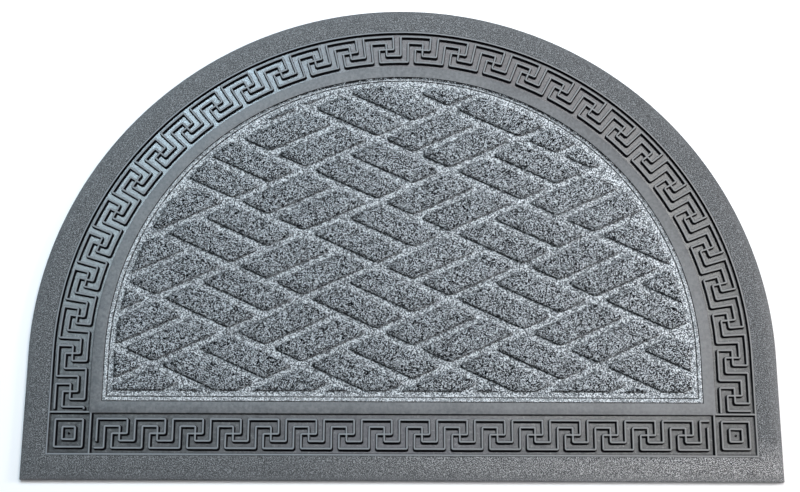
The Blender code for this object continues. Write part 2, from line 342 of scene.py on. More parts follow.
def add_ridge(parts, line, place, top, closed=False):
    """One ridge: its section carried along a line, at the bisector of each point's two stretches.

    The line's corners are rounded first. At a free end the section turns a quarter round the end
    point on each side, so that the end is a half dome. The section's feet are joined under the
    floor, so that the ridge is a closed body. The foot that is turned to the front middle runs out
    further, by the cosine between its own direction and that to the front middle.
    """
    line = np.asarray(line, float)
    if closed:
        start = (line[0] + line[-1]) / 2
        line = np.concatenate([[start], line, [start]])
    path = rounded_line(line, np.full(len(line) - 2, RIDGE_BEND), RIDGE_BEND_STEPS)
    path = refined_line(path, RIDGE_STRETCH)
    stretch = np.diff(path, axis=0)
    heading = stretch / np.linalg.norm(stretch, axis=1, keepdims=True)
    before = np.concatenate([heading[-1:] if closed else heading[:1], heading])
    after = np.concatenate([heading, heading[:1] if closed else heading[-1:]])
    mean = before + after
    mean /= np.linalg.norm(mean, axis=1, keepdims=True)
    mitre = 1 / (mean * after).sum(axis=1)
    side = np.stack([-mean[:, 1], mean[:, 0]], axis=-1) * mitre[:, None]
    offset = RIDGE_SECTION[:, 0]
    band = path[:, None, :] + side[:, None, :] * offset[None, :, None]
    spine = path
    if not closed:
        turn = np.linspace(0, math.pi / 2, RIDGE_CAP_STEPS + 1)[1:, None, None]
        caps = []
        spine = np.concatenate([np.repeat(path[:1], RIDGE_CAP_STEPS, axis=0), path,
                                np.repeat(path[-1:], RIDGE_CAP_STEPS, axis=0)])
        for end, which in ((0, -1), (-1, 1)):
            out = heading[end] * which
            aside = np.array([-heading[end][1], heading[end][0]])
            caps.append(path[end] + aside * offset[None, :, None] * np.cos(turn)
                        + out * np.abs(offset)[None, :, None] * np.sin(turn))
        band = np.concatenate([caps[0][::-1], band, caps[1]])
    rise = top - BAND_FLOOR
    height = BAND_FLOOR + RIDGE_SECTION[:, 1] * rise
    flat = place(band)
    outward = flat - place(spine)[:, None, :]
    outward /= np.linalg.norm(outward, axis=2, keepdims=True).clip(LEAST_LENGTH)
    facing = (outward * towards_front(flat)).sum(axis=2).clip(0) * (np.abs(offset) > RIDGE_FOOT)
    flat = flat + outward * SMEAR * facing[:, :, None]
    height = np.broadcast_to(height[None, :, None], (*band.shape[:2], 1))
    faces = grid_faces(*band.shape[:2], wrap_rows=closed, wrap_columns=True).tolist()
    # Painted shade: the flanks' dull black, and more of it on feet that face the place in front of
    # the mat.
    wall = np.maximum(RIDGE_SECTION[:, 2], (SMEAR_SHADE * facing).clip(0, 1))
    parts.add(np.concatenate([flat, height], axis=-1), faces, wall=wall,
              crest=RIDGE_SECTION[None, :, 3], grain=0.0, band=0.0)


def within(values, ends):
    """1 where a value lies between two ends, and 0 elsewhere."""
    return ((values > ends[0]) & (values < ends[1])).astype(float)


def add_moulding(parts):
    """The moulding's section carried round the outline, with its underside and its backing.

    The bead's inner side carries painted shade, a dull black, by the cosine between its direction,
    which is inward, and that to the front, and the ring's outer side by the same cosine the other
    way. The bead's feet carry that painted shade by a share at least, and the recess's wall all
    round.
    """
    section = rounded_line(SECTION[:, :2], SECTION[1:-1, 2], SECTION_ARC_STEPS)
    inset, height = section[:, 0], section[:, 1]
    extra = np.where(inset > RING_STARTS, RING_FRONT_EXTRA, 0)
    rings = half_round_rings(inset, inset + extra)
    rows, columns = rings.shape[:2]
    height = np.broadcast_to(height[:, None, None], (rows, columns, 1))
    inward = rings[-1] - rings[0]
    inward /= np.linalg.norm(inward, axis=-1, keepdims=True)
    facing = (inward * towards_front(rings)).sum(axis=-1)
    # Painted shade on the bead's inner side, the ring's outer side, the recess's wall and the
    # bead's feet.
    wall = facing * (within(inset, BEAD_SIDE) - within(inset, RING_SIDE))[:, None]
    wall = (SMEAR_SHADE * wall).clip(0, 1) + (inset > RECESS_SIDE)[:, None]
    for ends in BEAD_FEET:
        wall = np.maximum(wall, BEAD_FEET_SHADE * within(inset, ends)[:, None])
    grain = ((GRAIN_END - inset) / GRAIN_FADE).clip(0, 1)
    grain *= GRAIN_AT_EDGE + (1 - GRAIN_AT_EDGE) * (inset / GRAIN_FULL).clip(0, 1)
    faces = grid_faces(rows, columns, wrap_columns=True).tolist()
    faces.append(list(range(columns))[::-1])
    faces.append(list(range((rows - 1) * columns, rows * columns)))
    parts.add(np.concatenate([rings, height], axis=-1), faces, wall=wall,
              crest=within(inset, BEAD_CREST)[:, None], grain=grain[:, None],
              band=within(inset, BAND)[:, None])


def add_pip(parts, centre):
    """A small blunt cone: a circle drawn in and lifted from ring to ring, in painted shade, a dull
    black, all over.
    """
    angle = np.linspace(0, 2 * math.pi, PIP_SIDES, endpoint=False)
    wheel = np.stack([np.cos(angle), np.sin(angle)], axis=-1)
    flat = centre + PIP_SECTION[:, 0, None, None] * wheel
    height = BAND_FLOOR + PIP_SECTION[:, 1] * (RIDGE_TOP - BAND_FLOOR)
    rows = len(PIP_SECTION)
    faces = grid_faces(rows, PIP_SIDES, wrap_columns=True).tolist()
    faces.append(list(range(PIP_SIDES))[::-1])
    faces.append(list(range((rows - 1) * PIP_SIDES, rows * PIP_SIDES)))
    height = np.broadcast_to(height[:, None, None], (rows, PIP_SIDES, 1))
    parts.add(np.concatenate([flat, height], axis=-1), faces,
              wall=1.0, crest=0.0, grain=0.0, band=0.0)


def square_line(centre_x, centre_y, side):
    """The four corners of an upright square, counter-clockwise."""
    half = side / 2
    signs = np.array(((-1, -1), (1, -1), (1, 1), (-1, 1)))
    return np.array((centre_x, centre_y)) + signs * half


moulding = Parts(("wall", "crest", "grain", "band"))
add_moulding(moulding)
arc_cell = np.array((arc_run()[1] / (UNIT_CELLS * (ARC_UNITS - 1)), ARC_CELL_UP))
front_cell = np.array((2 * FRONT_HALF_RUN / (UNIT_CELLS * (FRONT_UNITS - 1)), FRONT_CELL_UP))
for number, line in enumerate(meander_lines(ARC_UNITS, ARC_END_CELLS)):
    add_ridge(moulding, line * arc_cell, arc_place, RIDGE_TOP - number * CROSSING_DROP)
for number, line in enumerate(meander_lines(FRONT_UNITS, FRONT_END_CELLS)):
    add_ridge(moulding, line * front_cell, front_place, RIDGE_TOP - number * CROSSING_DROP)
for hand in (-1, 1):
    divider = ((hand * (RADIUS - BEAD_MIDDLE), FRONT_Y + DIVIDER_TOP_Y),
               (hand * DIVIDER_X, FRONT_Y + DIVIDER_TOP_Y),
               (hand * DIVIDER_X, FRONT_Y + BEAD_MIDDLE))
    add_ridge(moulding, divider, plain_place, RIDGE_TOP - CROSSING_DROP)
    middle = np.array((hand * CORNER_X, FRONT_Y + CORNER_Y))
    for side in CORNER_RING_SIDES:
        add_ridge(moulding, square_line(*middle, side), plain_place, RIDGE_TOP, closed=True)
    add_pip(moulding, middle)
rubber = moulding.piece("rubber_moulding", RUBBER_SHARP_DEGREES)


class Value:
    """A socket in a material's nodes. Arithmetic with it adds the Math nodes that work it out."""

    def __init__(self, tree, socket=None):
        self.tree = tree
        self.socket = socket

    def node(self, kind, sockets, output=0, **settings):
        """Any node: its settings first, then its sockets' values or links."""
        made = self.tree.nodes.new("ShaderNode" + kind)
        for name, setting in settings.items():
            setattr(made, name, setting)
        for name, given in sockets.items():
            if isinstance(given, Value):
                self.tree.links.new(given.socket, made.inputs[name])
            else:
                made.inputs[name].default_value = given
        return Value(self.tree, made.outputs[output])

    def math(self, operation, first, second=0.0):
        return self.node("Math", {0: first, 1: second}, operation=operation)

    def __add__(self, other):
        return self.math("ADD", self, other)

    def __sub__(self, other):
        return self.math("SUBTRACT", self, other)

    def __rsub__(self, other):
        return self.math("SUBTRACT", other, self)

    def __mul__(self, other):
        return self.math("MULTIPLY", self, other)

    __radd__ = __add__
    __rmul__ = __mul__

    def between(self, low, high):
        """0 below low, 1 above high, and straight between them."""
        return self.node("MapRange", {0: self, 1: low, 2: high, 3: 0.0, 4: 1.0})

    def size(self):
        """How far it is from 0, either way."""
        return self.math("ABSOLUTE", self)

    def coordinate(self, axis):
        """A place's x, y or z, by number."""
        return self.node("SeparateXYZ", {0: self}, output=axis)

    def mix(self, first, second):
        """A colour from the first to the second as this goes from 0 to 1."""
        return self.node("Mix", {0: self, 6: first, 7: second}, output=2, data_type="RGBA")


def attribute(tree, name):
    """A named value that the mesh holds at its points."""
    return Value(tree).node("Attribute", {}, output=2, attribute_name=name)


def noise(tree, scale, detail, place, roughness=0.5):
    """Noise of a given number of lumps to the metre."""
    sockets = {"Vector": place, "Scale": scale, "Detail": detail, "Roughness": roughness}
    return Value(tree).node("TexNoise", sockets)


def start_material(name):
    """A new material's node tree and its shader."""
    material = bpy.data.materials.new(name)
    material.use_nodes = True
    return material, material.node_tree, material.node_tree.nodes["Principled BSDF"]


# The rubber's noises, in lumps to the metre.
CLOUDS = 28.0
SPECKLES = 1300.0
RIPPLES = 520.0
SCUFFS = 420.0
PORES = 2600.0

# Where its looks change, each from one x or y to another: towards the right, away from the front
# edge, and along x into a lighter part at the right front, and along y out of it. Then how much of
# its own shade that part takes, and the band.
RIGHT_X = (-0.09, 0.22)
FRONT_EDGE_Y = (-0.186, -0.165)
LIGHTER_PATCH_X = (0.02, 0.26)
LIGHTER_PATCH_Y = (-0.10, 0.06)
LIGHTER_PATCH_SHARE = 0.26
BAND_DARK_SHARE = 0.42

FACE_DARK = (0.050, 0.054, 0.058, 1)
FACE_LIGHT = (0.106, 0.110, 0.114, 1)
FACE_LIGHTER = (0.270, 0.265, 0.262, 1)
GRAIN_BLACK = (0.010, 0.011, 0.012, 1)
GRAIN_LIGHT = (0.268, 0.281, 0.292, 1)
GRAIN_LIGHTER = (0.660, 0.650, 0.645, 1)
# The crests' painted highlight, bluish on the left and neutral on the right.
CREST_HIGHLIGHT_LEFT = (0.157, 0.172, 0.184, 1)
CREST_HIGHLIGHT_RIGHT = (0.184, 0.183, 0.181, 1)
# The dull black of the painted shade on walls, feet and the pip.
PAINTED_SHADE_BLACK = (0.004, 0.004, 0.005, 1)


def rubber_material():
    """Dark slate rubber: grained on the border, glossy in the sunk band, satin elsewhere.

    The border's grain is a speckle of two sizes, about 0.8 and 0.4 mm, that is lightest along the
    veins where a coarser noise passes its middle. The rest is lightly scuffed and clouded. Towards
    the right front corner both are lighter. Crests carry a painted highlight, bluish on the left
    and neutral on the right. Walls and feet carry painted shade, a dull black.
    """
    material, tree, shader = start_material("slate rubber")
    place = Value(tree).node("TexCoord", {}, output=3)
    wall = attribute(tree, "wall")
    crest = attribute(tree, "crest")
    grain = attribute(tree, "grain")
    band = attribute(tree, "band")
    along_x = place.coordinate(0)
    along_y = place.coordinate(1)
    cloudy = noise(tree, CLOUDS, 3.0, place)
    speckle = noise(tree, SPECKLES, 1.0, place, roughness=0.75)
    ripple = noise(tree, RIPPLES, 2.0, place)
    scuff = noise(tree, SCUFFS, 2.0, place)
    pores = noise(tree, PORES, 1.0, place)
    right = along_x.between(*RIGHT_X)
    # The grain and the face grow lighter towards the right front corner.
    lighter_front_border = right * (1.0 - along_y.between(*FRONT_EDGE_Y))
    lighter_patch = along_x.between(*LIGHTER_PATCH_X) * (1.0 - along_y.between(*LIGHTER_PATCH_Y)) * (1.0 - band)
    tone = (0.4 * cloudy + 0.6 * scuff).between(0.38, 0.62)
    face = (lighter_patch * LIGHTER_PATCH_SHARE).mix(tone.mix(FACE_DARK, FACE_LIGHT), FACE_LIGHTER)
    off_vein = (ripple - 0.5).size().between(0.0, 0.05)
    specks = speckle.between(0.455, 0.57) * (1.0 - 0.60 * off_vein)
    grainy = specks.mix(GRAIN_BLACK, lighter_front_border.mix(GRAIN_LIGHT, GRAIN_LIGHTER))
    colour = (band * BAND_DARK_SHARE).mix(grain.mix(face, grainy), GRAIN_BLACK)
    # Painted highlight along the crests.
    colour = crest.mix(colour, right.mix(CREST_HIGHLIGHT_LEFT, CREST_HIGHLIGHT_RIGHT))
    tree.links.new(colour.socket, shader.inputs["Base Color"])
    rough = 0.48 + grain * 0.10 - band * 0.25 + crest * 0.18
    rough = rough + (scuff - 0.5) * 0.25 + (cloudy - 0.5) * 0.10
    tree.links.new(rough.socket, shader.inputs["Roughness"])
    height = grain * speckle + 0.12 * pores + 0.10 * scuff
    bump = Value(tree).node("Bump", {"Strength": 0.8, "Distance": 0.0004, "Height": height})
    tree.links.new(bump.socket, shader.inputs["Normal"])
    # Painted shade: where the mesh's mask says so, the rubber is mixed to a dull black diffuse.
    painted_shade_bsdf = Value(tree).node("BsdfDiffuse", {"Color": PAINTED_SHADE_BLACK})
    both = Value(tree).node("MixShader", {0: wall, 1: Value(tree, shader.outputs[0]), 2: painted_shade_bsdf})
    tree.links.new(both.socket, tree.nodes["Material Output"].inputs["Surface"])
    return material


rubber.data.materials.append(rubber_material())
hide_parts("rubber_mat")
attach(rubber, "root")

# The felt insert is one half-round of needle-punched felt in a grey melange, laid in the recess.
# A hot plate has pressed it into a basket weave of raised bars in pairs, a hair below the rubber's
# top between them, and into a flat margin with a fine sunk line and a paler rim along its edge.
felt_low, felt_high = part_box("felt_insert")
FELT_RADIUS = (felt_high.x - felt_low.x) / 2
FELT_FRONT_Y = felt_low.y
FELT_TOP = 0.0058
BAR_RISE = felt_high.z - FELT_TOP

# The weave's repeat and a place that it is laid out from, and a bar's width, length and corner
# radii before it is squashed. A bar is built if the margin leaves the least part of its outline.
WEAVE_X = 0.1188
WEAVE_Y = 0.0548
WEAVE_CENTRE = (-0.0220, 0.0009)
BAR_WIDTH = 0.0349
BAR_LENGTH = 0.0769
BAR_POINTED_RADIUS = 0.0080
BAR_BLUNT_RADIUS = 0.0045
BAR_LEAST_SHOWN = 1 / 8
MARGIN = 0.0078

# The squash along y, and what it leaves of a distance across a bar's straight edge.
SQUASH = WEAVE_Y / WEAVE_X
EDGE_SQUASH = SQUASH * math.sqrt(2 / (1 + SQUASH ** 2))

# A bar's grid: the rays that find its outline, the spots that find its middle, the halvings that
# find a place on a ray, the points round it, how they crowd at a turn, the depths of its outer
# rings, and the shares of its inner ones.
BAR_RAYS = 721
BAR_SPOTS = (61, 31)
HALVINGS = 30
BAR_POINTS = 72
BAR_TURN_SPREAD = 0.0040
BAR_RINGS = (-0.0005, 0.0, 0.0003, 0.0006, 0.0010, 0.0014)
BAR_INNER_RINGS = (0.70, 0.40, 0.12)
DEEPEST_RING_SHARE = 0.8

# A bar's height: how wide its shoulder and its crown are, their shares of the rise, and the
# cloth's slow waves, each as radians for a metre along x and y and where it starts.
SHOULDER = 0.0014
SHOULDER_SHARE = 0.84
CROWN_WIDTH = 0.0090
CROWN_SHARE = 0.13
WAVES = ((310, 170, 1), (-140, 420, 0), (520, -350, 2))
WAVE_SHARE = 0.010

# The painted shade at a bar's foot: the depth where it is darkest, how far it reaches from there,
# how dark it is where it faces sideways, and how much that grows towards the side turned from the
# light.
FOOT_DEPTH = 0.0006
FOOT_REACH = 0.0016
FOOT_SIDEWAYS = 0.75
FOOT_TURN = 0.80
FOOT_SHADED_SIDE = (-0.91, -0.42)

# The margin's section: inset from the felt's edge, height, radius.
MARGIN_SECTION = np.array((
    (0.0006, felt_low.z, 0.0),
    (0.0, felt_low.z, 0.0003),
    (0.0, FELT_TOP, 0.0007),
    (0.0027, FELT_TOP, 0.0003),
    (0.0034, FELT_TOP - 0.0008, 0.0002),
    (0.0041, FELT_TOP, 0.0003),
    (0.0068, FELT_TOP, 0.0),
))

# The painted shade in the margin's groove and on its edge: the depth that counts as one, the most
# it counts, how much fainter the groove is along the front, and how wide and dark the edge is on
# its shaded side.
GROOVE_SHADE = 0.0003
GROOVE_DARKEST = 2
GROOVE_FRONT_FADE = 0.5
EDGE_SHADE_WIDTH = 0.0008
EDGE_SHADE = 2.0
EDGE_SHADED_SIDE = (-0.20, -0.98)
RIM_WIDTH = 0.0060
RIM_FADE = 0.0010
FELT_SHARP_DEGREES = 60


def bar_places():
    """The centre and slope of every bar, (x, y, slope): two to a block, falling blocks on the
    weave's repeat and climbing blocks half a repeat away both ways."""
    columns = math.ceil(RADIUS / WEAVE_X)
    rows = math.ceil(RADIUS / WEAVE_Y)
    axes = (np.arange(-columns, columns + 1), np.arange(-rows, rows + 1), (0, 1), (-1, 1))
    column, row, climbs, half = (part.ravel() for part in np.meshgrid(*axes, indexing="ij"))
    slope = 2 * climbs - 1
    x = WEAVE_CENTRE[0] + (column + climbs / 2 + half / 8) * WEAVE_X
    y = WEAVE_CENTRE[1] + (row + climbs / 2 - half * slope / 8) * WEAVE_Y
    return np.stack([x, y, slope], axis=-1)


def bar_depth(point, bar):
    """How far points lie inside the edge of their bar, in metres, negative outside it.

    Undoing the squash turns a bar into a box at 45 degrees with two sharper and two blunter round
    corners. The distance to that box's edge, times what the squash leaves of it, is the depth.
    """
    x = point[..., 0] - bar[..., 0]
    y = (point[..., 1] - bar[..., 1]) * bar[..., 2] / SQUASH
    along = (x + y) / math.sqrt(2)
    across = (y - x) / math.sqrt(2)
    radius = np.where(along * across < 0, BAR_POINTED_RADIUS, BAR_BLUNT_RADIUS)
    past_end = np.abs(along) - BAR_LENGTH / 2 + radius
    past_side = np.abs(across) - BAR_WIDTH / 2 + radius
    outside = np.hypot(past_end.clip(0), past_side.clip(0)) - radius
    outside += np.maximum(past_end, past_side).clip(None, 0)
    return -outside * EDGE_SQUASH


def edge_depth(point, inset=0.0):
    """How far points lie inside the felt's own outline drawn in by an inset."""
    x, y = point[..., 0], point[..., 1]
    from_arc = FELT_RADIUS - inset - np.hypot(x, (y - ARC_Y).clip(0))
    return np.minimum(from_arc, y - FELT_FRONT_Y - inset)


def shown_depth(point, bar):
    """How far points lie inside what the margin leaves of their bar."""
    return np.minimum(bar_depth(point, bar), edge_depth(point, MARGIN))


def along_rays(middle, direction, bar, depth, depth_of):
    """The points on rays from a bar's middle where its depth has a given value, by halving."""
    near = np.zeros(np.broadcast_shapes(direction.shape[:-1], depth.shape))
    far = near + BAR_LENGTH
    for _ in range(HALVINGS):
        half = (near + far) / 2
        inside = depth_of(middle + direction * half[..., None], bar) > depth
        near = np.where(inside, half, near)
        far = np.where(inside, far, half)
    return near


def felt_height(point, depth):
    """The cloth's top: flat between the bars, and on a bar a soft shoulder with a low crown.

    The shoulder is a smooth step over its width, and the crown a parabola from there to the
    bar's middle. Slow waves make the cloth a little uneven.
    """
    step = (depth / SHOULDER).clip(0, 1)
    step = step * step * (3 - 2 * step)
    crown = 1 - (1 - (depth / CROWN_WIDTH).clip(0, 1)) ** 2
    x, y = point[..., 0], point[..., 1]
    waves = sum(np.sin(across * x + along * y + start) for across, along, start in WAVES)
    rise = BAR_RISE * (SHOULDER_SHARE * step + CROWN_SHARE * crown)
    return FELT_TOP + rise * (1 + WAVE_SHARE * waves)


def filled_loops(loops):
    """Triangles between an outer loop and the holes in it, from a filled flat curve."""
    curve = bpy.data.curves.new("fill", "CURVE")
    curve.dimensions = "2D"
    curve.fill_mode = "BOTH"
    for loop in loops:
        spline = curve.splines.new("POLY")
        spline.points.add(len(loop) - 1)
        flat = np.concatenate([loop, np.zeros((len(loop), 1)), np.ones((len(loop), 1))], axis=1)
        spline.points.foreach_set("co", flat.ravel())
        spline.use_cyclic_u = True
    drawn = bpy.data.objects.new("fill", curve)
    bpy.context.scene.collection.objects.link(drawn)
    bpy.context.view_layer.update()
    evaluated = drawn.evaluated_get(bpy.context.evaluated_depsgraph_get())
    mesh = bpy.data.meshes.new_from_object(evaluated)
    bpy.data.objects.remove(drawn)
    points = np.empty(len(mesh.vertices) * 3, np.float32)
    mesh.vertices.foreach_get("co", points)
    faces = [list(face.vertices) for face in mesh.polygons]
    bpy.data.meshes.remove(mesh)
    return points.reshape(-1, 3).astype(float), faces


def add_bars(parts):
    """Every raised bar as rings round its middle, from a flat ring outside its foot to its top.

    Bars of which the margin leaves too little are left out. A bar's rays are spread evenly by
    length of outline plus a length for each radian of turn. The first rings lie at fixed depths
    inside the outline, the others at shares of the last of them. A foot's painted shade grows with
    the cosine between its outward direction and that of the side turned from the light.
    """
    bars = bar_places()[:, None, :]
    wheel = np.linspace(0, 2 * math.pi, BAR_RAYS)
    spokes = np.stack([np.cos(wheel), np.sin(wheel)], axis=-1)[None]
    reach = along_rays(bars[..., :2], spokes, bars, np.zeros(1), bar_depth)
    outline = bars[..., :2] + spokes * reach[..., None]
    share = (edge_depth(outline, MARGIN) > 0).mean(axis=1)
    bars = bars[share >= BAR_LEAST_SHOWN]
    around = np.meshgrid(*(np.linspace(-1, 1, count) for count in BAR_SPOTS))
    around = np.stack(around, axis=-1).reshape(1, -1, 2)
    spots = bars[..., :2] + around * (BAR_LENGTH / 2, BAR_LENGTH / 4)
    inside = (shown_depth(spots, bars) > 0)[..., None]
    middle = (spots * inside).sum(axis=1, keepdims=True) / inside.sum(axis=1, keepdims=True)
    reach = along_rays(middle, spokes, bars, np.zeros(1), shown_depth)
    outline = middle + spokes * reach[..., None]
    stretch = np.diff(outline, axis=1)
    length = np.linalg.norm(stretch, axis=-1)
    heading = np.unwrap(np.arctan2(stretch[..., 1], stretch[..., 0]), axis=1)
    turning = np.abs(np.diff(heading, axis=1, prepend=heading[:, :1]))
    gone = np.cumsum(length + BAR_TURN_SPREAD * turning, axis=1)
    gone = np.concatenate([np.zeros((len(gone), 1)), gone], axis=1)
    goals = np.linspace(0, 1, BAR_POINTS, endpoint=False)
    loops = []
    for bar, at, way in zip(bars, middle, gone):
        angle = np.interp(goals * way[-1], way, wheel)
        spoke = np.stack([np.cos(angle), np.sin(angle)], axis=-1)[None]
        deepest = shown_depth(at, bar)[0]
        depths = np.array(BAR_RINGS)[:, None]
        room = min(1, DEEPEST_RING_SHARE * deepest / BAR_RINGS[-1])
        depths = np.where(depths > 0, depths * room, depths)
        found = along_rays(at, spoke, bar, depths, shown_depth)
        found = np.concatenate([found, found[-1:] * np.array(BAR_INNER_RINGS)[:, None]])
        flat = at + spoke * found[..., None]
        depth = shown_depth(flat, bar)
        points = np.concatenate([flat, felt_height(flat, depth)[..., None]], axis=-1)
        rows = len(points)
        faces = grid_faces(rows, BAR_POINTS, wrap_columns=True).tolist()
        faces.append(list(range((rows - 1) * BAR_POINTS, rows * BAR_POINTS)))
        raised = (depth / SHOULDER).clip(0, 1)
        along = np.roll(flat, -1, axis=1) - np.roll(flat, 1, axis=1)
        outward = np.stack([along[..., 1], -along[..., 0]], axis=-1)
        outward /= np.linalg.norm(outward, axis=-1, keepdims=True)
        # Painted shade along the foot, more on the side turned from the light.
        foot = 1 - (np.abs(depth - FOOT_DEPTH) / FOOT_REACH).clip(0, 1)
        shaded_side = (outward * FOOT_SHADED_SIDE).sum(axis=-1)
        foot = foot * (FOOT_SIDEWAYS + FOOT_TURN * shaded_side).clip(0)
        parts.add(points, faces, raised=raised, foot=foot, rim=0.0)
        loops.append(flat[0])
    return loops


def add_margin(parts):
    """The margin's section carried round the felt's outline, with the felt's plain underside.

    Its edge carries painted shade by the square of the cosine between its inward direction and the
    shaded side's, and its groove by its depth, but less along the front.
    """
    section = rounded_line(MARGIN_SECTION[:, :2], MARGIN_SECTION[1:-1, 2], SECTION_ARC_STEPS)
    inset = RADIUS - FELT_RADIUS + section[:, 0]
    front_inset = FELT_FRONT_Y - FRONT_Y + section[:, 0]
    rings = half_round_rings(inset, front_inset)
    rows, columns = rings.shape[:2]
    height = np.broadcast_to(section[:, 1][:, None, None], (rows, columns, 1))
    faces = grid_faces(rows, columns, wrap_columns=True).tolist()
    faces.append(list(range(columns))[::-1])
    inward = rings[-1] - rings[0]
    inward /= np.linalg.norm(inward, axis=-1, keepdims=True)
    facing = (inward * EDGE_SHADED_SIDE).sum(axis=-1).clip(0) ** 2
    groove_shade = ((FELT_TOP - section[:, 1]) / GROOVE_SHADE).clip(0, GROOVE_DARKEST)
    edge = (section[:, 0] < EDGE_SHADE_WIDTH)[:, None]
    groove_shade = groove_shade[:, None] * (1 - GROOVE_FRONT_FADE * inward[..., 1].clip(0))
    # Painted shade on the edge and in the groove.
    foot = np.where(edge, EDGE_SHADE * facing, groove_shade)
    rim = ((RIM_WIDTH - section[:, 0]) / RIM_FADE).clip(0, 1)[:, None]
    parts.add(np.concatenate([rings, height], axis=-1), faces, raised=0.0, foot=foot, rim=rim)
    return rings[-1]


cloth = Parts(("raised", "foot", "rim"))
outer_loop = add_margin(cloth)
bar_loops = add_bars(cloth)
flat_points, flat_faces = filled_loops([outer_loop, *bar_loops])
flat_points[:, 2] = FELT_TOP
cloth.add(flat_points, flat_faces, raised=0.0, foot=0.0, rim=0.0)
felt = cloth.piece("felt_cloth", FELT_SHARP_DEGREES)

# The felt's noises, in lumps to the metre, where it grows lighter towards the right as painted
# light, how much of their own shades the rim and the painted shade at the feet take, and the
# shades.
MELANGE = 1120.0
PATCHES = 160.0
FELT_LIT_RIGHT_X = (-0.08, 0.20)
RIM_SHARE = 0.22
FOOT_SHADE_SHARE = 0.78
PRESSED_DARK = (0.080, 0.087, 0.093, 1)
PRESSED_LEFT = (0.550, 0.586, 0.607, 1)
PRESSED_LIT_RIGHT = (0.655, 0.685, 0.703, 1)
BAR_BLACK = (0.001, 0.001, 0.002, 1)
BAR_LEFT = (0.366, 0.399, 0.423, 1)
BAR_LIT_RIGHT = (0.470, 0.498, 0.519, 1)
RIM_PALE = (0.700, 0.730, 0.750, 1)
FOOT_SHADE_BLACK = (0.008, 0.009, 0.010, 1)


def felt_material():
    """Grey melange felt: light and dark fibres mixed at about a millimetre.

    The light ones are paler where the felt is pressed flat and along its rim, and paler towards
    the right as painted light. The bars' feet and the margin's groove and edge carry painted
    shade, near black.
    """
    material, tree, shader = start_material("melange felt")
    place = Value(tree).node("TexCoord", {}, output=3)
    raised = attribute(tree, "raised")
    foot = attribute(tree, "foot")
    rim = attribute(tree, "rim")
    grey = noise(tree, MELANGE, 0.0, place)
    patch = noise(tree, PATCHES, 2.0, place)
    fibres = (0.90 * grey + 0.10 * patch).between(0.503, 0.56)
    # Painted light: the felt grows paler towards the right.
    right = place.coordinate(0).between(*FELT_LIT_RIGHT_X)
    pressed = fibres.mix(PRESSED_DARK, right.mix(PRESSED_LEFT, PRESSED_LIT_RIGHT))
    bars = fibres.mix(BAR_BLACK, right.mix(BAR_LEFT, BAR_LIT_RIGHT))
    colour = (rim * RIM_SHARE).mix(raised.mix(pressed, bars), RIM_PALE)
    colour = (foot * FOOT_SHADE_SHARE).mix(colour, FOOT_SHADE_BLACK)
    tree.links.new(colour.socket, shader.inputs["Base Color"])
    shader.inputs["Roughness"].default_value = 0.95
    shader.inputs["Specular IOR Level"].default_value = 0.1
    bump = Value(tree).node("Bump", {"Strength": 1.0, "Distance": 0.0008, "Height": grey})
    tree.links.new(bump.socket, shader.inputs["Normal"])
    return material


felt.data.materials.append(felt_material())
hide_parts("felt_insert")
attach(felt, "root")

# Loose fibres stand a little proud all over the felt: slivers of yarn that the needles left bent
# over the surface, both ends caught in the cloth. There are light and dark ones, and the hot plate
# has pressed most of the dark ones in where the felt lies low.
FIBRE_COUNT = 48000
FIBRE_LENGTH = (0.0012, 0.0030)
FIBRE_WIDTH = (0.00022, 0.00042)
FIBRE_LIFT = (0.00006, 0.00026)

# How far a fibre bows aside, as a share of its length, how its shade drifts, in lumps to the
# metre, and how far up, at least, the cloth faces where it carries fibres.
FIBRE_BOW = 0.2
FIBRE_DRIFT = 420.0
FIBRE_UP = 0.5

# Each kind's share in the low places against that on the bars, and its two shades.
LIGHT_SEED = 11
LIGHT_LOW_SHARE = 1.0
LIGHT_YARN = ((0.16, 0.175, 0.185, 1), (0.50, 0.53, 0.55, 1))
DARK_SEED = 12
DARK_LOW_SHARE = 0.3
DARK_YARN = ((0.006, 0.007, 0.008, 1), (0.020, 0.023, 0.026, 1))


def cloth_spots(count, chance, low_share):
    """Places on the cloth's top and its normals there, by area, the low places less by a share."""
    mesh = felt.data
    mesh.calc_loop_triangles()
    corners = np.empty(len(mesh.loop_triangles) * 3, np.int32)
    mesh.loop_triangles.foreach_get("vertices", corners)
    points = np.empty(len(mesh.vertices) * 3, np.float32)
    mesh.vertices.foreach_get("co", points)
    a, b, c = np.moveaxis(points.reshape(-1, 3).astype(float)[corners.reshape(-1, 3)], 1, 0)
    normal = np.cross(b - a, c - a)
    area = np.linalg.norm(normal, axis=1)
    up = normal[:, 2] > FIBRE_UP * area
    weight = area * up * np.where(a[:, 2] > FELT_TOP + BAR_RISE / 2, 1, low_share)
    chosen = chance.choice(len(weight), count, p=weight / weight.sum())
    u, v = chance.random((2, count, 1))
    over = u + v > 1
    u, v = np.where(over, 1 - u, u), np.where(over, 1 - v, v)
    spot = a[chosen] + (b - a)[chosen] * u + (c - a)[chosen] * v
    return spot, normal[chosen] / area[chosen][:, None]


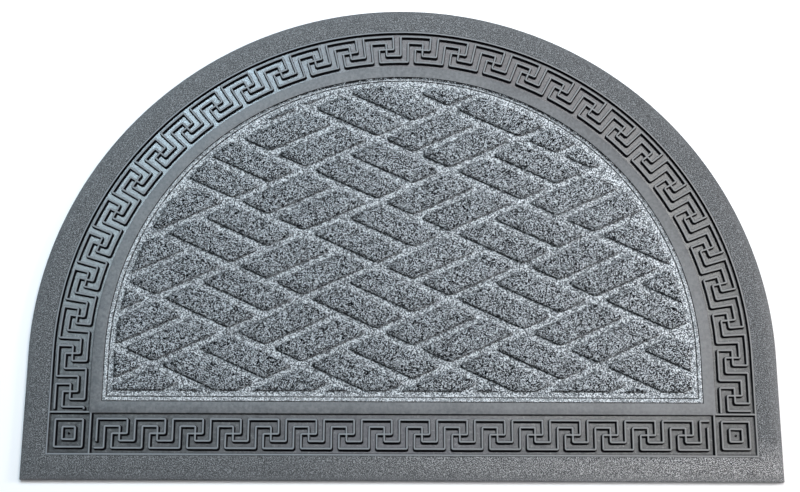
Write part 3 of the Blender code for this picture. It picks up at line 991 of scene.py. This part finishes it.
def make_fibres(name, seed, low_share):
    """Closed slivers of four triangles: two ends on the cloth, and two middles beside each other.

    The middles are lifted off the cloth along its normal and joined to both ends, and the ends to
    each other. Each sliver has a cell of its own in the UV map, and each triangle a quarter of it.
    """
    chance = np.random.default_rng(seed)
    spot, normal = cloth_spots(FIBRE_COUNT, chance, low_share)
    turn = chance.uniform(0, 2 * math.pi, FIBRE_COUNT)
    level = np.stack([np.cos(turn), np.sin(turn), 0 * turn], axis=-1)
    along = level - normal * (level * normal).sum(axis=1, keepdims=True)
    along /= np.linalg.norm(along, axis=1, keepdims=True)
    aside = np.cross(normal, along)
    length = chance.uniform(*FIBRE_LENGTH, (FIBRE_COUNT, 1))
    width = chance.uniform(*FIBRE_WIDTH, (FIBRE_COUNT, 1))
    lift = chance.uniform(*FIBRE_LIFT, (FIBRE_COUNT, 1))
    bow = chance.uniform(-FIBRE_BOW, FIBRE_BOW, (FIBRE_COUNT, 1)) * length
    middle = spot + normal * lift + aside * bow
    points = np.stack([spot - along * length / 2, middle + aside * width / 2,
                       spot + along * length / 2, middle - aside * width / 2], axis=1)
    first = 4 * np.arange(FIBRE_COUNT)[:, None, None]
    faces = (first + ((0, 3, 1), (2, 1, 3), (0, 1, 2), (2, 3, 0))).reshape(-1, 3)
    mesh = bpy.data.meshes.new(name)
    mesh.from_pydata(points.reshape(-1, 3).tolist(), [], faces.tolist())
    side = math.ceil(math.sqrt(FIBRE_COUNT))
    cell = np.stack([np.arange(FIBRE_COUNT) % side, np.arange(FIBRE_COUNT) // side], axis=-1)
    quarter = np.array(((0.0, 0.0), (0.5, 0.0), (0.0, 0.5), (0.5, 0.5)))
    corner = np.array(((0.05, 0.05), (0.45, 0.05), (0.05, 0.45)))
    spread = (cell[:, None, None, :] + quarter[:, None, :] + corner) / side
    layer = mesh.uv_layers.new(name="OFBake")
    layer.data.foreach_set("uv", spread.ravel())
    piece = bpy.data.objects.new(name, mesh)
    bpy.context.scene.collection.objects.link(piece)
    return piece


def fibre_material(name, shades):
    """One kind of yarn: it drifts between its two shades over the cloth."""
    material, tree, shader = start_material(name)
    place = Value(tree).node("TexCoord", {}, output=3)
    tone = noise(tree, FIBRE_DRIFT, 1.0, place).between(0.35, 0.65)
    tree.links.new(tone.mix(*shades).socket, shader.inputs["Base Color"])
    shader.inputs["Roughness"].default_value = 0.8
    return material


light_fibres = make_fibres("felt_fibres_light", LIGHT_SEED, LIGHT_LOW_SHARE)
light_fibres.data.materials.append(fibre_material("light yarn", LIGHT_YARN))
dark_fibres = make_fibres("felt_fibres_dark", DARK_SEED, DARK_LOW_SHARE)
dark_fibres.data.materials.append(fibre_material("dark yarn", DARK_YARN))
for fibres in (light_fibres, dark_fibres):
    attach(fibres, "root")

# The studio: a pale floor, the camera as it stood for the photograph, above the front edge, and
# soft boxes overhead, two of them bluish windows at the upper left that the band mirrors.
CAMERA_LENS = 66.22
CAMERA_SENSOR = 36.0
CAMERA_TURN = (math.radians(15.747), math.radians(-0.605), math.radians(0.302))
CAMERA_PLACE = (-0.0155, -0.3359, 1.1642)
FLOOR_SIZE = 6.0
FLOOR_COLOUR = (0.86, 0.86, 0.86, 1)
AIR_COLOUR = (0.95, 0.97, 1.0, 1)
AIR_STRENGTH = 0.15

bpy.ops.mesh.primitive_plane_add(size=FLOOR_SIZE)
floor = bpy.context.object
floor.name = "studio_floor"
floor_material, _, floor_shader = start_material("pale floor")
floor_shader.inputs["Base Color"].default_value = FLOOR_COLOUR
floor_shader.inputs["Roughness"].default_value = 0.9
floor.data.materials.append(floor_material)

camera = bpy.data.objects.new("camera", bpy.data.cameras.new("camera"))
camera.data.lens = CAMERA_LENS
camera.data.sensor_width = CAMERA_SENSOR
turn_x, turn_y, turn_z = (Matrix.Rotation(turn, 4, axis) for turn, axis in zip(CAMERA_TURN, "XYZ"))
camera.matrix_world = Matrix.Translation(CAMERA_PLACE) @ turn_x @ turn_y @ turn_z
bpy.context.scene.collection.objects.link(camera)
bpy.context.scene.camera = camera


def area_light(name, place, aim, size, power, colour):
    """A rectangular soft box at a place, turned to face a point on the mat."""
    lamp = bpy.data.lights.new(name, "AREA")
    lamp.shape = "RECTANGLE"
    lamp.size, lamp.size_y = size
    lamp.energy = power
    lamp.color = colour
    box = bpy.data.objects.new(name, lamp)
    away = np.array(place) - np.array(aim)
    turned = Vector(away).to_track_quat("Z", "Y").to_matrix().to_4x4()
    box.matrix_world = Matrix.Translation(place) @ turned
    bpy.context.scene.collection.objects.link(box)


# The boxes overhead face straight down: name, place over the floor, size, watts and colour.
BOX_HEIGHT = 1.30
OVERHEAD = (
    ("window", (-0.36, 0.70), (0.30, 0.34), 10.2, (0.64, 0.85, 1.00)),
    ("side window", (-0.52, 0.40), (0.20, 0.36), 4.3, (0.72, 0.90, 1.00)),
    ("left box", (-0.30, 0.25), (0.30, 0.40), 0.8, (0.95, 1.00, 1.00)),
    ("middle box", (0.36, 0.30), (0.36, 0.40), 6.0, (1.00, 0.99, 0.96)),
    ("right box", (0.72, -0.30), (0.36, 0.80), 4.1, (1.00, 0.96, 0.92)),
    ("upper box", (0.18, 0.70), (0.72, 0.40), 4.0, (1.00, 0.94, 0.98)),
    ("back box", (0.18, 1.10), (0.72, 0.40), 4.0, (0.97, 0.97, 1.00)),
    ("front box", (0.00, -0.10), (0.36, 0.40), 2.0, (0.87, 0.88, 1.00)),
)
for name, spot, size, power, colour in OVERHEAD:
    area_light(name, (*spot, BOX_HEIGHT), (*spot, 0), size, power, colour)

# The key box stands low on the right and is turned to the mat's middle.
area_light("key box", (1.49, 0.13, 0.70), (0, 0, 0), (0.4, 0.4), 14.0, (1.00, 0.96, 0.98))

world = bpy.data.worlds.new("studio air")
bpy.context.scene.world = world
world.use_nodes = True
air = world.node_tree.nodes["Background"]
air.inputs["Color"].default_value = AIR_COLOUR
air.inputs["Strength"].default_value = AIR_STRENGTH
bpy.context.scene.view_settings.view_transform = "Standard"
